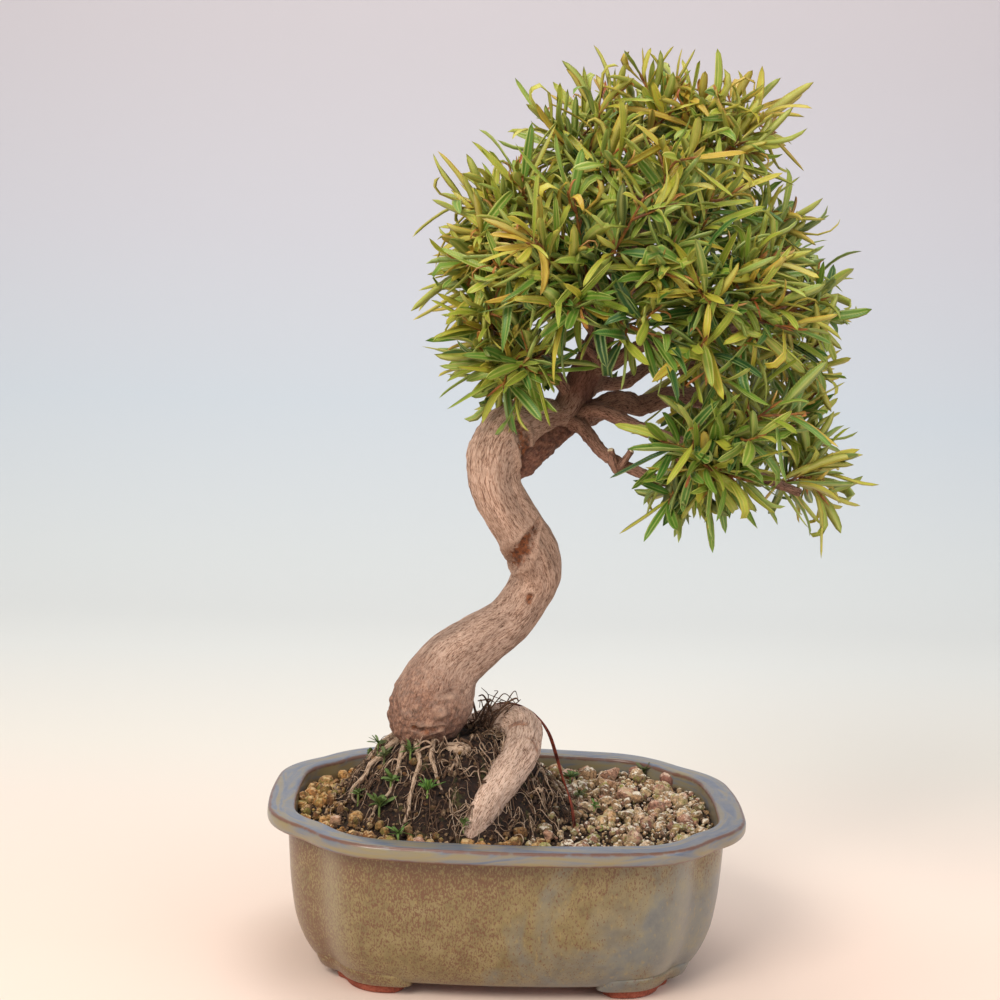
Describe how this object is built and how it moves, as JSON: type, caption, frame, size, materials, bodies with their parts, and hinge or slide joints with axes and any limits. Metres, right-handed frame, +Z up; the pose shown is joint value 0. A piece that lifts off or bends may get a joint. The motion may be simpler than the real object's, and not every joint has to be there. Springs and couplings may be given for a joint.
{
  "type": "willow leaf fig bonsai",
  "caption": "Willow leaf fig bonsai with a curving bare trunk, an arched root and a dense leafy crown, in a four-lobed glazed pot with soil",
  "frame": {"origin": "middle of the whole part's box in X and Y, at the underside of the pot's feet", "axes": "+Z up, +X along the pot's long side, towards the side over which the crown leans, +Y away from the front"},
  "size_m": [0.288, 0.1902, 0.4538],
  "materials": {
    "glaze": "satin glaze, olive tan with brown specks and blue-grey clouds",
    "soil": "loose granular, dry",
    "mesh_plastic": "moulded, matte",
    "bark": "fine wavy bark, matte",
    "fig_leaf": "smooth leaf, satin",
    "weed_leaf": "soft leaf, satin",
    "copper_wire": "annealed and darkened copper"
  },
  "bodies": {
    "root": {"drain_mesh_left": "mesh_plastic", "drain_mesh_right": "mesh_plastic", "pot": "glaze", "soil": "soil", "spray_01": "fig_leaf", "spray_02": "fig_leaf", "spray_03": "fig_leaf", "spray_04": "fig_leaf", "spray_05": "fig_leaf", "spray_06": "fig_leaf", "spray_07": "fig_leaf", "spray_08": "fig_leaf", "spray_09": "fig_leaf", "spray_10": "fig_leaf", "spray_11": "fig_leaf", "spray_12": "fig_leaf", "spray_13": "fig_leaf", "spray_14": "fig_leaf", "spray_15": "fig_leaf", "spray_16": "fig_leaf", "spray_17": "fig_leaf", "spray_18": "fig_leaf", "spray_19": "fig_leaf", "spray_20": "fig_leaf", "spray_21": "fig_leaf", "spray_22": "fig_leaf", "spray_23": "fig_leaf", "spray_24": "fig_leaf", "spray_25": "fig_leaf", "spray_26": "fig_leaf", "spray_27": "fig_leaf", "spray_28": "fig_leaf", "spray_29": "fig_leaf", "spray_30": "fig_leaf", "spray_31": "fig_leaf", "spray_32": "fig_leaf", "spray_33": "fig_leaf", "spray_34": "fig_leaf", "spray_35": "fig_leaf", "spray_36": "fig_leaf", "spray_37": "fig_leaf", "spray_38": "fig_leaf", "spray_39": "fig_leaf", "spray_40": "fig_leaf", "spray_41": "fig_leaf", "spray_42": "fig_leaf", "spray_43": "fig_leaf", "spray_44": "fig_leaf", "spray_45": "fig_leaf", "spray_46": "fig_leaf", "spray_47": "fig_leaf", "spray_48": "fig_leaf", "spray_49": "fig_leaf", "spray_50": "fig_leaf", "spray_51": "fig_leaf", "tie_wire": "copper_wire", "tree_wood": "bark", "weed_broad": "weed_leaf", "weed_tuft_front": "weed_leaf", "weed_tuft_middle": "weed_leaf"}
  },
  "joints": []
}
